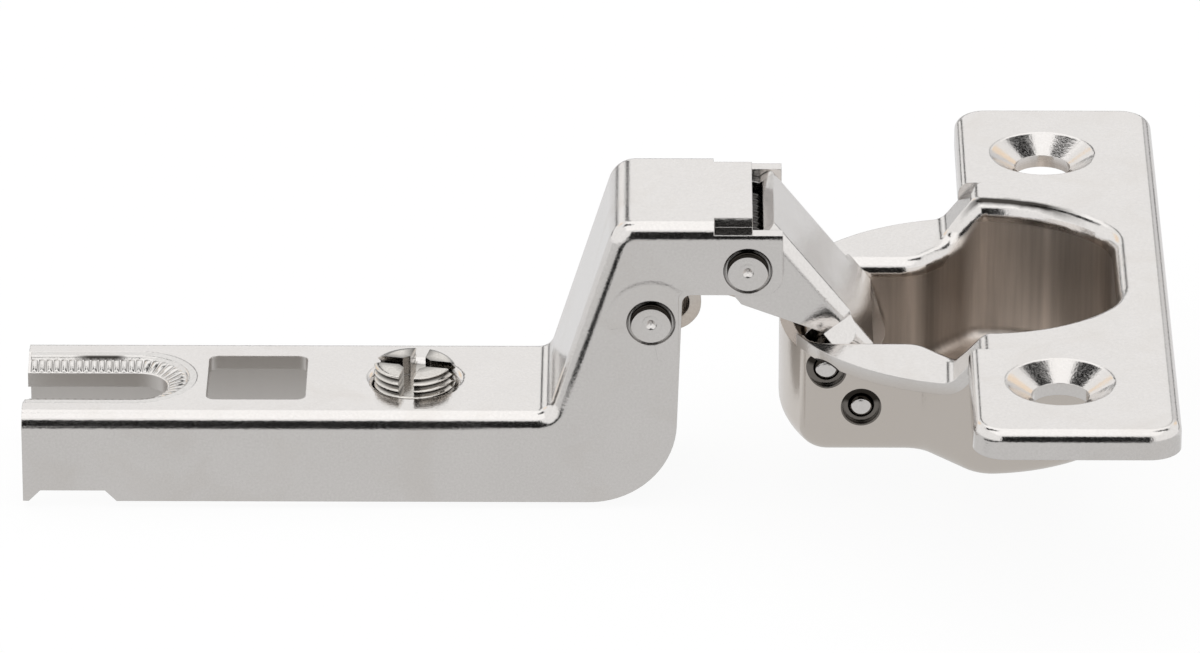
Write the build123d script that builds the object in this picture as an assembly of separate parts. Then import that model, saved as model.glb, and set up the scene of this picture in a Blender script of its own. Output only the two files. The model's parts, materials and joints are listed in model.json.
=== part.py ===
"""Concealed cup hinge with a high-crank arm: cup, two links, arm, rivets, pins, spring and adjusting screw.

Frame: millimetres, +Z up off the door face. The origin is where the cup's axis meets the door face, which is
the plane that the flange's rim rests on. The hinge stands open, with its arm pointing along -X, and every
pivot runs along Y. Side views are drawn as (x, z).
"""

from build123d import *
from math import atan2, cos, degrees, hypot, radians, sin, sqrt
import os

# ---- pivots, in the side view ----
front_rivet_at = (-20.3, 5.3)
rear_rivet_at = (-28.6, 0.4)
upper_pin_at = (-13.5, -3.4)
lower_pin_at = (-10.5, -6.9)
pivot_r = 1.1
running_gap = 0.05  # radial, between a pivot and what turns on it
seat_gap = 0.03  # radial, between a pivot and what holds it
closing_angle = 90.0

# ---- cup: one drawn sheet ----
cup_sheet = 1.1
cup_body_d = 35.0  # the bore that it is pressed into
cup_depth = 11.6  # below the door face
cup_round_r = 13.2  # inside the round body
cup_neck_half = 8.0  # inside the narrow neck that the links work in
cup_shoulder_foot_x = -5.4  # the neck widens from here
cup_shoulder_head_x = -0.6  # and meets the round body here
cup_shoulder_r = 3.0
cup_mouth_end_x = 11.5  # inside of the flat end wall
cup_end_corner_r = 6.0
cup_nose_corner_r = 1.6
cup_bottom_r = 2.3
cup_lip_r = 1.4
cup_shelf_drop = 0.9  # the shelf's top, below the door face
cup_step_foot_x = -3.1  # the sheet steps up from the shelf here
cup_step_head_x = -0.2  # and reaches the flange's top here
cup_step_r = 1.5
cup_notch_drop = 1.2  # the nose's cut, below the shelf's top
flange_length = 68.5
flange_left_x = -1.6
flange_right_x = 15.9
flange_height = 2.5
flange_corner_r = 2.8
flange_edge_r = 1.0
fixing_pitch = 48.0
fixing_x = 6.0
fixing_hole_d = 4.9
fixing_dish_d = 9.4
fixing_dish_depth = 1.3
fixing_dish_edge_r = 0.7

# ---- arm: one folded sheet ----
arm_sheet = 1.3
arm_width = 15.6
arm_bend_r = 1.4
arm_rear_x = -82.9
arm_base_z = -8.45  # top of the base
arm_base_height = 8.2
arm_crank = 17.95  # from the base's top to the head's top
arm_riser_foot_x = -37.4
arm_riser_lean = 5.7  # how far the riser leans over its height
arm_riser_foot_r = 1.4
arm_riser_head_r = 2.4
arm_tip_x = -17.3
arm_tip_r = 1.7
arm_tip_low_z = 3.05
arm_front_x = -25.9
arm_front_lean = 0.7
arm_front_corner_r = 0.8
arm_heel_r = 7.6
head_plate_end_x = -19.9
head_notch_x = -23.2
head_notch_depth = 0.9
base_relief_start_x = -81.4
base_relief_end_x = -75.8
base_relief_height = 1.0
slot_end_x = -70.6
slot_width = 5.4
slot_dish_width = 10.6
slot_dish_depth = 0.9
slot_dish_edge_r = 0.5
slot_dish_wall = 1.6
window_centre_x = -62.8
window_length = 8.6
window_width = 9.0
window_corner_r = 0.8

# ---- adjusting screw ----
screw_x = -49.1
screw_r = 3.55
screw_gap = 0.05
screw_stand = 1.5  # above the base
screw_length = 5.6
screw_edge = 0.35
screw_slot_width = 1.5
screw_slot_depth = 1.9
screw_neck_r = 1.9
screw_neck_length = 1.3
screw_foot_r = 2.9
screw_foot_height = 1.0
screw_foot_edge = 0.2
collar_length = 3.2
collar_wall = 1.1
collar_lip_r = 0.9

# ---- rivets and pins ----
rivet_head_width = 0.7  # round the pivot
rivet_head_stand = 0.3  # proud of the arm's side
rivet_head_edge = 0.12
rivet_recess_gap = 0.3  # round the head
rivet_recess_depth = 0.3
rivet_dimple_r = 0.6
rivet_dimple_depth = 0.35
pin_chamfer = 0.3
pin_set_back = 0.15  # of each end, from the cup's side
pin_dimple_gap = 0.5  # round the pin
pin_dimple_depth = 0.45

# ---- links ----
outer_sheet = 1.2
outer_side_gap = 0.1  # to the arm's cheeks
outer_foot_gap = 0.3  # from the joggled feet to the cup's neck
outer_joggle_at = 9.2  # along the link from the front rivet
outer_joggle_run = 1.6
outer_web_start = -1.3
outer_web_end = 12.4
outer_belly = 2.6  # the head's straight lower edge ends here
outer_waist_run = 2.2  # behind the upper pin, where the cheek starts to narrow
outer_waist_drop = 0.4
outer_heel_run = 2.0  # behind the lower pin
outer_heel_drop = 1.2
outer_head_wall = 1.6  # round the front rivet
outer_eye_wall = 1.2  # round the lower pin
outer_bend_r = 1.2
outer_pin_room = 0.4  # round the upper pin
inner_sheet = 1.0
inner_side_gap = 0.9  # to the outer link's cheeks
inner_knee_at = (4.0, 3.9)  # from the upper pin, back and up
inner_bend_r = 2.4
inner_flat = 2.1  # straight behind the rear eye
inner_slot_gap = 0.1  # round the rear rivet, over its whole path

# ---- torsion spring round the front rivet ----
spring_wire_d = 1.1
spring_turns = 6.52
spring_turn_gap = 0.1  # between turns
spring_bore_gap = 0.25  # round the rivet
spring_room = 0.3  # to the outer link's web
spring_leg = 5.0

# ---- worked out ----
head_top_z = arm_base_z + arm_crank
base_low_z = arm_base_z - arm_base_height
arm_inside = arm_width - 2 * arm_sheet
riser_foot = (arm_riser_foot_x, arm_base_z)
riser_head = (arm_riser_foot_x + arm_riser_lean, head_top_z)
outer_width = arm_inside - 2 * outer_side_gap
outer_foot_width = 2 * (cup_neck_half - outer_foot_gap)
inner_width = outer_width - 2 * outer_sheet - 2 * inner_side_gap
bore_r = pivot_r + running_gap
seat_r = pivot_r + seat_gap
outer_head_r = bore_r + outer_head_wall
outer_eye_r = bore_r + outer_eye_wall
pin_step = (lower_pin_at[0] - upper_pin_at[0], lower_pin_at[1] - upper_pin_at[1])
rivet_head_r = pivot_r + rivet_head_width
spring_mean_r = pivot_r + spring_bore_gap + spring_wire_d / 2
outer_web_offset = spring_mean_r + spring_wire_d / 2 + spring_room + outer_sheet  # pivot line to outer face
link_span = hypot(lower_pin_at[0] - front_rivet_at[0], lower_pin_at[1] - front_rivet_at[1])
outer_tilt = degrees(atan2(lower_pin_at[1] - front_rivet_at[1], lower_pin_at[0] - front_rivet_at[0]))


def across(sketch, width):
    """A side-view sketch, made solid over a width centred on the hinge's middle plane."""
    return extrude(Plane.XZ * sketch, amount=width / 2, both=True)


def cross_rod(at, radius, width):
    """A round rod along Y through a side-view point."""
    return across(Pos(*at) * Circle(radius), width)


def outline(points):
    """A closed face through side-view points."""
    return make_face(Polyline(*points, close=True))


def near(sketch, *points):
    """The sketch's corners that lie at the given points."""
    return [min(sketch.vertices(), key=lambda v: hypot(v.X - x, v.Y - y)) for x, y in points]


# ---- the linkage ----
def turned(point, angle, about):
    """A side-view point turned anticlockwise by an angle in degrees."""
    dx, dz = point[0] - about[0], point[1] - about[1]
    c, s = cos(radians(angle)), sin(radians(angle))
    return about[0] + c * dx - s * dz, about[1] + s * dx + c * dz


def heading(start, end):
    return degrees(atan2(end[1] - start[1], end[0] - start[0]))


def closed_turns():
    """How far each link has turned, anticlockwise, when the cup has turned by the closing angle.

    The cup carries both its pins, so the upper pin lies on a circle round the rear rivet and on the outer
    link's circle shifted by the turned pin spacing. The crossing on the lower side is the closed pose.
    """
    spacing = turned(pin_step, closing_angle, (0, 0))
    centre = (front_rivet_at[0] - spacing[0], front_rivet_at[1] - spacing[1])
    inner_span = hypot(upper_pin_at[0] - rear_rivet_at[0], upper_pin_at[1] - rear_rivet_at[1])
    apart = hypot(centre[0] - rear_rivet_at[0], centre[1] - rear_rivet_at[1])
    along = (inner_span**2 - link_span**2 + apart**2) / (2 * apart)
    off = sqrt(inner_span**2 - along**2)
    ux, uz = (centre[0] - rear_rivet_at[0]) / apart, (centre[1] - rear_rivet_at[1]) / apart
    upper = (rear_rivet_at[0] + along * ux + off * uz, rear_rivet_at[1] + along * uz - off * ux)
    lower = (upper[0] + spacing[0], upper[1] + spacing[1])
    outer_turn = heading(front_rivet_at, lower) - outer_tilt
    inner_turn = heading(rear_rivet_at, upper) - heading(rear_rivet_at, upper_pin_at)
    return outer_turn, inner_turn


def open_pivot_path(steps=12):
    """Where the rear rivet lies in the inner link as all joints turn in constant proportion."""
    outer_turn, inner_turn = closed_turns()
    path = []
    for step in range(steps + 1):
        share = step / steps
        lower = turned(lower_pin_at, share * outer_turn, front_rivet_at)
        unturned = (lower[0] - pin_step[0], lower[1] - pin_step[1])
        upper = turned(unturned, share * closing_angle, lower)
        back = turned(rear_rivet_at, -share * inner_turn, upper)
        path.append((back[0] + upper_pin_at[0] - upper[0], back[1] + upper_pin_at[1] - upper[1]))
    return path


# ---- cup ----
def cup_plan():
    """The cavity's outline seen from above: a round body, slanted shoulders and a narrow neck."""
    reach = cup_body_d / 2 - cup_sheet
    nose_x = -sqrt(reach**2 - cup_neck_half**2)
    shoulder_y = sqrt(cup_round_r**2 - cup_shoulder_head_x**2)
    end_y = sqrt(cup_round_r**2 - cup_mouth_end_x**2)
    slant = (shoulder_y - cup_neck_half) / (cup_shoulder_head_x - cup_shoulder_foot_x)
    far_y = cup_neck_half + slant * (cup_mouth_end_x - cup_shoulder_foot_x)
    hood = outline(
        [
            (cup_shoulder_foot_x, -cup_neck_half),
            (cup_mouth_end_x, -far_y),
            (cup_mouth_end_x, far_y),
            (cup_shoulder_foot_x, cup_neck_half),
        ]
    )
    band = Pos(-reach, 0) * Rectangle(2 * reach, 2 * cup_neck_half)
    plan = (Circle(cup_round_r) & hood) + (Circle(reach) & band)
    corners = [
        (cup_shoulder_foot_x, cup_neck_half, cup_shoulder_r),
        (cup_shoulder_head_x, shoulder_y, cup_shoulder_r),
        (cup_mouth_end_x, end_y, cup_end_corner_r),
        (nose_x, cup_neck_half, cup_nose_corner_r),
    ]
    for x, y, radius in corners:
        plan = fillet(near(plan, (x, y), (x, -y)), radius)
    return plan


def cup_block(grow, top_z):
    """The cavity as a solid with a rounded bottom, grown outwards by a wall."""
    floor_z = -cup_depth + cup_sheet - grow
    plan = offset(cup_plan(), amount=grow) if grow else cup_plan()
    block = Pos(0, 0, floor_z) * extrude(plan, amount=top_z - floor_z)
    return fillet(block.edges().group_by(Axis.Z)[0], cup_bottom_r - cup_sheet + grow)


def under_skin(drop):
    """The room below the shelf, the S-shaped step and the flange's top, lowered by a drop."""
    far = flange_length
    shelf_z = -cup_shelf_drop
    side = outline(
        [
            (-far, shelf_z),
            (cup_step_foot_x, shelf_z),
            (cup_step_head_x, flange_height),
            (far, flange_height),
            (far, -far),
            (-far, -far),
        ]
    )
    side = fillet(near(side, (cup_step_foot_x, shelf_z), (cup_step_head_x, flange_height)), cup_step_r)
    if drop:
        side = offset(side, amount=-drop)
    return across(side, 2 * flange_length)


def make_cup():
    middle_x = (flange_left_x + flange_right_x) / 2
    width = flange_right_x - flange_left_x
    over = extrude(RectangleRounded(width, flange_length, flange_corner_r), amount=flange_height)
    over = fillet(over.edges().group_by(Axis.Z)[-1], flange_edge_r)
    hollow_corner_r = flange_corner_r - cup_sheet
    hollow = RectangleRounded(width - 2 * cup_sheet, flange_length - 2 * cup_sheet, hollow_corner_r)
    over -= extrude(hollow, amount=flange_height - cup_sheet)

    # Over the bore's left half the sheet steps down to the shelf, in place of the flange's rim.
    left_half = Pos(middle_x - cup_body_d, 0, 0) * Box(2 * cup_body_d, 2 * cup_body_d, 2 * cup_body_d)
    stepped = Cylinder(cup_body_d / 2, 2 * cup_body_d) & left_half
    cup = Pos(middle_x, 0) * over - stepped
    cup += (under_skin(0) - under_skin(cup_sheet)) & stepped
    cup += cup_block(cup_sheet, cup_body_d) & under_skin(0)
    cup -= cup_block(0, cup_body_d)
    cup = fillet(mouth_edges(cup), cup_lip_r)

    notch_half = cup_neck_half - cup_sheet
    notch_depth = 2 * (cup_body_d / 2 - sqrt((cup_body_d / 2 - cup_sheet) ** 2 - cup_neck_half**2))
    notch_low = -cup_shelf_drop - cup_notch_drop
    notch = Box(notch_depth, 2 * notch_half, cup_depth)
    cup -= Pos(-cup_body_d / 2, 0, notch_low + cup_depth / 2) * notch

    for y in (-fixing_pitch / 2, fixing_pitch / 2):
        cup = dished_hole(cup, fixing_x, y)

    wall_y = cup_neck_half + cup_sheet
    for at in (upper_pin_at, lower_pin_at):
        cup -= cross_rod(at, seat_r, 4 * wall_y)
        dimple = cross_rod(at, pivot_r + pin_dimple_gap, 4 * wall_y)
        cup -= dimple - cross_rod(at, cup_neck_half, 2 * (wall_y - pin_dimple_depth))
    return cup


def mouth_edges(cup):
    """The edges where the cavity's walls meet the upper skin."""
    rim = cup_plan().faces()[0].outer_wire()
    found = []
    for edge in cup.edges():
        points = [edge @ 0, edge @ 0.5, edge @ 1]
        on_rim = all(rim.distance_to(Vector(p.X, p.Y, 0)) < 0.001 for p in points)
        upright = hypot(points[0].X - points[2].X, points[0].Y - points[2].Y) < 0.001
        if on_rim and not upright and points[1].Z > -cup_shelf_drop - 0.001:
            found.append(edge)
    return found


def dished_hole(body, x, y):
    """A countersunk fixing hole pressed into the flange, with the sheet dished below it."""
    top = flange_height
    hole_top = top - fixing_dish_depth
    low = hole_top - cup_sheet
    hole_r = fixing_hole_d / 2
    dish_r = fixing_dish_d / 2
    skirt = [
        (0, low),
        (hole_r + cup_sheet / 2, low),
        (dish_r + cup_sheet / 2, top - cup_sheet),
        (dish_r + cup_sheet / 2, top - cup_sheet / 2),
        (0, top - cup_sheet / 2),
    ]
    bore = [(0, low - top), (hole_r, low - top), (hole_r, hole_top)]
    bowl = bore + [(dish_r, top), (dish_r, 2 * top), (0, 2 * top)]
    place = Pos(x, y, 0)
    body += place * revolve(Plane.XZ * outline(skirt), Axis.Z)
    body -= place * revolve(Plane.XZ * outline(bowl), Axis.Z)
    centre = Vector(x, y, top)
    rounds = body.edges().filter_by(GeomType.CIRCLE)
    rim = min(rounds, key=lambda edge: (edge.arc_center - centre).length + abs(edge.radius - dish_r))
    return fillet(rim, fixing_dish_edge_r)


# ---- arm ----
def folded_line(rear_x, front_x):
    """The arm's upper outline in the side view: base, riser and head."""
    return [(rear_x, arm_base_z), riser_foot, riser_head, (front_x, head_top_z)]


def round_riser(side):
    side = fillet(near(side, riser_foot), arm_riser_foot_r)
    return fillet(near(side, riser_head), arm_riser_head_r)


def make_arm():
    heel = (arm_front_x - arm_front_lean, base_low_z)
    tip = (arm_tip_x, arm_tip_low_z)
    throat = (arm_front_x, arm_tip_low_z)
    relief_z = base_low_z + base_relief_height
    relief = [
        (base_relief_end_x + base_relief_height, base_low_z),
        (base_relief_end_x, relief_z),
        (base_relief_start_x, relief_z),
        (base_relief_start_x - base_relief_height, base_low_z),
    ]
    lower_line = [tip, throat, heel] + relief + [(arm_rear_x, base_low_z)]
    side = round_riser(outline(folded_line(arm_rear_x, arm_tip_x) + lower_line))
    for corner, radius in ((heel, arm_heel_r), (tip, arm_tip_r), (throat, arm_front_corner_r)):
        side = fillet(near(side, corner), radius)
    arm = across(side, arm_width)
    cheek_y = arm_width / 2
    cheek_edges = [edge for edge in arm.edges() if abs(abs(edge.center().Y) - cheek_y) < 0.001]
    arm = fillet([edge for edge in cheek_edges if is_fold(edge @ 0.5)], arm_bend_r)

    # The channel inside is the same profile, one sheet in.
    far = arm_crank + arm_base_height
    room = folded_line(arm_rear_x - far, arm_tip_x + far)
    room += [(arm_tip_x + far, base_low_z - far), (arm_rear_x - far, base_low_z - far)]
    arm -= across(offset(round_riser(outline(room)), amount=-arm_sheet), arm_inside)

    # The head's plate stops short of the tip, and its bends are cut down beside the end.
    reach = arm_tip_x - head_notch_x + arm_sheet
    plate_end = Pos(head_plate_end_x + reach / 2, 0, head_top_z)
    plate_end *= Box(reach, arm_inside, 2 * arm_sheet + arm_bend_r)
    notch = Pos(head_notch_x + reach / 2, 0, head_top_z) * Box(reach, 2 * arm_width, 2 * head_notch_depth)
    plate_width = arm_width - 2 * arm_bend_r - head_notch_depth
    notch -= Pos(head_plate_end_x - reach / 2, 0, head_top_z) * Box(reach, plate_width, 4 * head_notch_depth)
    arm -= plate_end
    arm -= notch

    arm = rear_slot(arm)
    window = RectangleRounded(window_length, window_width, window_corner_r)
    arm -= Pos(window_centre_x, 0, arm_base_z) * extrude(window, amount=2 * arm_sheet, both=True)
    arm = screw_collar(arm)

    for at in (front_rivet_at, rear_rivet_at):
        arm -= cross_rod(at, seat_r, 2 * arm_width)
        recess = cross_rod(at, rivet_head_r + rivet_recess_gap, 2 * arm_width)
        arm -= recess - cross_rod(at, 2 * rivet_head_r, arm_width - 2 * rivet_recess_depth)
    return arm


def is_fold(point):
    """Whether a point of the arm's side lies on the upper outline."""
    on_flat = min(abs(point.Z - arm_base_z), abs(point.Z - head_top_z)) < 0.001
    on_riser = point.X < riser_head[0] + arm_riser_head_r and point.Z > arm_base_z - 0.001
    return on_flat or on_riser


def stadium(end_x, width):
    """An open-ended slot's outline from above, from past the arm's end to its round end."""
    start_x = arm_rear_x - width
    length = end_x - width / 2 - start_x
    bar = Pos(start_x + length / 2, 0) * Rectangle(length, width)
    return bar + Pos(end_x - width / 2, 0) * Circle(width / 2)


def rear_slot(arm):
    """The dished, open-ended slot that slides under the fixing screw."""
    spread = (slot_dish_width - slot_width) / 2
    dish_low = arm_base_z - slot_dish_depth
    boss_top = arm_base_z - arm_sheet / 2
    boss = stadium(slot_end_x + slot_dish_wall, slot_width + 2 * slot_dish_wall)
    boss = Pos(0, 0, boss_top) * extrude(boss, amount=dish_low - arm_sheet - boss_top)
    arm += boss & Pos(arm_rear_x + arm_width, 0, arm_base_z) * Box(2 * arm_width, arm_width, arm_width)
    arm -= Pos(0, 0, arm_base_z) * extrude(stadium(slot_end_x, slot_width), amount=4 * arm_sheet, both=True)
    taper = degrees(atan2(spread, slot_dish_depth))
    dish_floor = Pos(0, 0, dish_low) * stadium(slot_end_x, slot_width)
    arm -= extrude(dish_floor, amount=slot_dish_depth, taper=-taper)
    rim = [
        edge
        for edge in arm.edges()
        if abs(edge.center().Z - arm_base_z) < 0.001
        and abs((edge @ 0).Z - (edge @ 1).Z) < 0.001
        and arm_rear_x + 0.001 < edge.center().X < slot_end_x + spread + 0.001
        and abs((edge @ 0.5).Y) < slot_dish_width / 2 + 0.001
    ]
    return fillet(rim, slot_dish_edge_r)


def screw_collar(arm):
    """The drawn collar that the adjusting screw turns in."""
    hole_r = screw_r + screw_gap
    low = arm_base_z - arm_sheet - collar_length
    lip_r = hole_r + collar_lip_r
    lip_low = arm_base_z - collar_lip_r
    high = arm_base_z + arm_sheet
    bottom = low - arm_sheet
    collar_height = arm_base_z - arm_sheet / 2 - low
    collar = Pos(screw_x, 0, low) * extrude(Circle(hole_r + collar_wall), amount=collar_height)
    funnel = make_face(
        [
            Line((0, bottom), (hole_r, bottom)),
            Line((hole_r, bottom), (hole_r, lip_low)),
            RadiusArc((hole_r, lip_low), (lip_r, arm_base_z), collar_lip_r),
            Line((lip_r, arm_base_z), (lip_r, high)),
            Line((lip_r, high), (0, high)),
            Line((0, high), (0, bottom)),
        ]
    )
    return arm + collar - Pos(screw_x, 0, 0) * revolve(Plane.XZ * funnel, Axis.Z)


# ---- links ----
def make_outer_link():
    """The U-shaped outer link, drawn along its pivot line and then tilted into place."""
    pin_s, pin_n = along_outer(upper_pin_at)
    room_r = pivot_r + outer_pin_room
    waist_n = pin_n + room_r
    side = outline(
        [
            (outer_web_start, outer_web_offset),
            (outer_web_end, outer_web_offset),
            (link_span + outer_eye_r * 0.55, outer_eye_r * 0.8),
            (link_span, -outer_eye_r * 0.9),
            (link_span - outer_heel_run, waist_n - outer_heel_drop),
            (pin_s, waist_n),
            (pin_s - outer_waist_run, waist_n - outer_waist_drop),
            (outer_belly, -outer_head_r),
            (0, -outer_head_r),
            (-outer_head_r / 2, outer_head_r / 2),
        ]
    )
    side += Circle(outer_head_r)
    side += Pos(link_span, 0) * Circle(outer_eye_r)
    side -= Pos(pin_s, pin_n) * Circle(room_r)
    blank = across(side, 2 * outer_foot_width)

    # Seen from above, each cheek steps out to the foot's width.
    half = outer_width / 2
    foot = outer_foot_width / 2
    joggle_end = outer_joggle_at + outer_joggle_run
    start = -2 * outer_head_r
    finish = link_span + 2 * outer_eye_r
    outer_side = [(start, half), (outer_joggle_at, half), (joggle_end, foot), (finish, foot)]
    inner_side = [(s, y - outer_sheet) for s, y in reversed(outer_side)]
    cheek = extrude(outline(outer_side + inner_side), amount=link_span, both=True)
    cheeks = blank & (cheek + mirror(cheek, Plane.XZ))

    web_n = outer_web_offset - outer_sheet / 2
    web = Pos((outer_web_start + outer_web_end) / 2, 0, web_n)
    web *= Box(outer_web_end - outer_web_start, outer_width, outer_sheet)
    foot_web = Pos((joggle_end + outer_web_end) / 2, 0, web_n)
    foot_web *= Box(outer_web_end - joggle_end, outer_foot_width, outer_sheet)
    folded = rounded_envelope(start, joggle_end, outer_width)
    folded += rounded_envelope(outer_joggle_at, finish, outer_foot_width)
    link = (cheeks + web + foot_web) & folded
    for s in (0, link_span):
        link -= cross_rod((s, 0), bore_r, 2 * outer_foot_width)
    return Pos(front_rivet_at[0], 0, front_rivet_at[1]) * Rot(0, -outer_tilt, 0) * link


def rounded_envelope(start, finish, width):
    """The outside of the link's U section, with its two folds rounded, along a stretch of the link."""
    height = 4 * outer_width
    section = Pos(0, outer_web_offset - height / 2) * RectangleRounded(width, height, outer_bend_r)
    return Pos(start, 0, 0) * extrude(Plane.YZ * section, amount=finish - start)


def along_outer(at):
    """A side-view point as (along the outer link, off it towards its web)."""
    dx = at[0] - front_rivet_at[0]
    dz = at[1] - front_rivet_at[1]
    tilt = radians(outer_tilt)
    return dx * cos(tilt) + dz * sin(tilt), -dx * sin(tilt) + dz * cos(tilt)


def make_inner_link():
    """The bent inner link, with an eye on the upper pin and a slotted eye on the rear rivet."""
    pin_x, pin_z = upper_pin_at
    eye_r = bore_r + inner_sheet
    path = open_pivot_path()
    rivet_room = [Pos(*at) * Circle(pivot_r + inner_slot_gap) for at in path]
    slot = make_hull([circle.edge() for circle in rivet_room])
    slot_eye = offset(slot, amount=inner_sheet)
    plate_z = slot_eye.bounding_box().max.Y - inner_sheet / 2
    straight_x = rear_rivet_at[0] + eye_r
    route = FilletPolyline(
        (straight_x - inner_flat, plate_z),
        (straight_x + inner_flat, plate_z),
        (pin_x - inner_knee_at[0], pin_z + inner_knee_at[1]),
        (pin_x + inner_sheet, pin_z + eye_r - inner_sheet / 2),
        radius=inner_bend_r,
    )
    side = trace(route, line_width=inner_sheet) + slot_eye + Pos(pin_x, pin_z) * Circle(eye_r)
    side -= slot
    side -= Pos(pin_x, pin_z) * Circle(bore_r)
    return across(side, inner_width)


# ---- rivets, pins, spring and screw ----
def make_rivet(at):
    cheek_y = arm_width / 2
    head_low = cheek_y - rivet_recess_depth
    head_high = cheek_y + rivet_head_stand
    rivet = cross_rod(at, pivot_r, 2 * head_low + rivet_head_stand)
    heads = cross_rod(at, rivet_head_r, 2 * head_high)
    heads = chamfer(heads.edges().filter_by(GeomType.CIRCLE), rivet_head_edge)
    rivet += heads - cross_rod(at, 2 * rivet_head_r, 2 * head_low)
    dimples = cross_rod(at, rivet_dimple_r, 2 * arm_width)
    return rivet - (dimples - cross_rod(at, rivet_head_r, 2 * (head_high - rivet_dimple_depth)))


def make_pin(at):
    pin = cross_rod(at, pivot_r, 2 * (cup_neck_half + cup_sheet - pin_set_back))
    return chamfer(pin.edges().filter_by(GeomType.CIRCLE), pin_chamfer)


def make_spring():
    """The coil round the front rivet, with one leg under the head and one on the inner link."""
    pitch = spring_wire_d + spring_turn_gap
    height = spring_turns * pitch
    path = Helix(pitch=pitch, height=height, radius=spring_mean_r)
    wire = Circle(spring_wire_d / 2)
    start = Plane(path @ 0, z_dir=path % 0)
    finish = Plane(path @ 1, z_dir=path % 1)
    coil = sweep(start * wire, path=path)
    coil += extrude(start * wire, amount=-spring_leg)
    coil += extrude(finish * wire, amount=spring_leg)
    near_end = (front_rivet_at[0], -height / 2, front_rivet_at[1])
    return Plane(near_end, x_dir=(0, 0, 1), z_dir=(0, 1, 0)) * coil


def make_screw():
    top = arm_base_z + screw_stand
    low = top - screw_length
    foot_top = low - screw_neck_length
    screw = Pos(screw_x, 0, low) * extrude(Circle(screw_r), amount=screw_length)
    screw = chamfer(screw.edges().group_by(Axis.Z)[-1], screw_edge)
    for angle in (45, 135):
        slot = Pos(screw_x, 0, top) * Rot(0, 0, angle)
        screw -= slot * Box(4 * screw_r, screw_slot_width, 2 * screw_slot_depth)
    screw += Pos(screw_x, 0, foot_top) * extrude(Circle(screw_neck_r), amount=screw_neck_length)
    foot = Pos(screw_x, 0, foot_top) * extrude(Circle(screw_foot_r), amount=-screw_foot_height)
    return screw + chamfer(foot.edges(), screw_foot_edge)


outer_turn, inner_turn = closed_turns()
cup_turn = closing_angle - outer_turn
print("cup on outer link", round(cup_turn, 4), "outer ratio", round(outer_turn / cup_turn, 6))
print("inner link on cup, ratio", round((inner_turn - closing_angle) / cup_turn, 6))
os.makedirs("parts", exist_ok=True)
parts = {
    "arm": make_arm(),
    "cup": make_cup(),
    "outer_link": make_outer_link(),
    "inner_link": make_inner_link(),
    "front_rivet": make_rivet(front_rivet_at),
    "rear_rivet": make_rivet(rear_rivet_at),
    "upper_cup_pin": make_pin(upper_pin_at),
    "lower_cup_pin": make_pin(lower_pin_at),
    "torsion_spring": make_spring(),
    "adjusting_screw": make_screw(),
}
for name, solid in parts.items():
    export_step(solid, f"parts/{name}.step")
    print(name, round(solid.volume, 2), solid.bounding_box())
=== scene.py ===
import json

import bmesh
import bpy
import numpy as np
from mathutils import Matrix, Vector


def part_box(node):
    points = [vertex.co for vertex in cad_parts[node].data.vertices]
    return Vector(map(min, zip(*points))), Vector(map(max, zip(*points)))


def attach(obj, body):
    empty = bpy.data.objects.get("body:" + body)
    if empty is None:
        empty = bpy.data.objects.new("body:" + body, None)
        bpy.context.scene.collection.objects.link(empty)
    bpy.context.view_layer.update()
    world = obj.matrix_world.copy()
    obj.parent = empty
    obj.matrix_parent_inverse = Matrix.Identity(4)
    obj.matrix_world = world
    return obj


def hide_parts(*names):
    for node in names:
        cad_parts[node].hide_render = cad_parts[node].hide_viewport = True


mm = 0.001  # lengths below are millimetres, and Blender's are metres
scene = bpy.context.scene
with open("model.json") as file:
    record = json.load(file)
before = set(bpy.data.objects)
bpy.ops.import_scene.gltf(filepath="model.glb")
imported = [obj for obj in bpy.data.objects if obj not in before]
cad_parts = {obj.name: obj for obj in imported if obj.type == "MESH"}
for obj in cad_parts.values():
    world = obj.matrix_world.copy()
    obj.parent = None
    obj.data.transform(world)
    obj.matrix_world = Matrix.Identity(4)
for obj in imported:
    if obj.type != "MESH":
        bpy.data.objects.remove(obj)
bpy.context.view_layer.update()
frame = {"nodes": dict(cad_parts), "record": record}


def boxOf(node):
    low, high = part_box(node)
    return np.array(low) / mm, np.array(high) / mm


def mountAt(name):
    found = [mount for mount in frame["record"]["mounts"] if mount["name"] == name]
    return np.array(found[0]["pos_m"]) / mm


armHigh = boxOf("arm")[1]
pinLow, pinHigh = boxOf("upper_cup_pin")
pivotR = (pinHigh[0] - pinLow[0]) / 2


# ---- meshes ----
def gridQuads(rows, columns, joined, start):
    # quads between neighbouring rings; joined also ties the last ring to the first
    tied = rows if joined else rows - 1
    ring, column = np.meshgrid(np.arange(tied), np.arange(columns), indexing="ij")
    nextRing = (ring + 1) % rows
    nextColumn = (column + 1) % columns
    corners = [(ring, column), (ring, nextColumn), (nextRing, nextColumn), (nextRing, column)]
    return np.stack([start + r * columns + c for r, c in corners], axis=-1).reshape(-1, 4)


def endFan(hub, first, columns):
    # triangles from a hub point to each side of a ring
    column = np.arange(columns)
    return np.stack([np.full(columns, hub), first + (column + 1) % columns, first + column], axis=-1)


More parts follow.
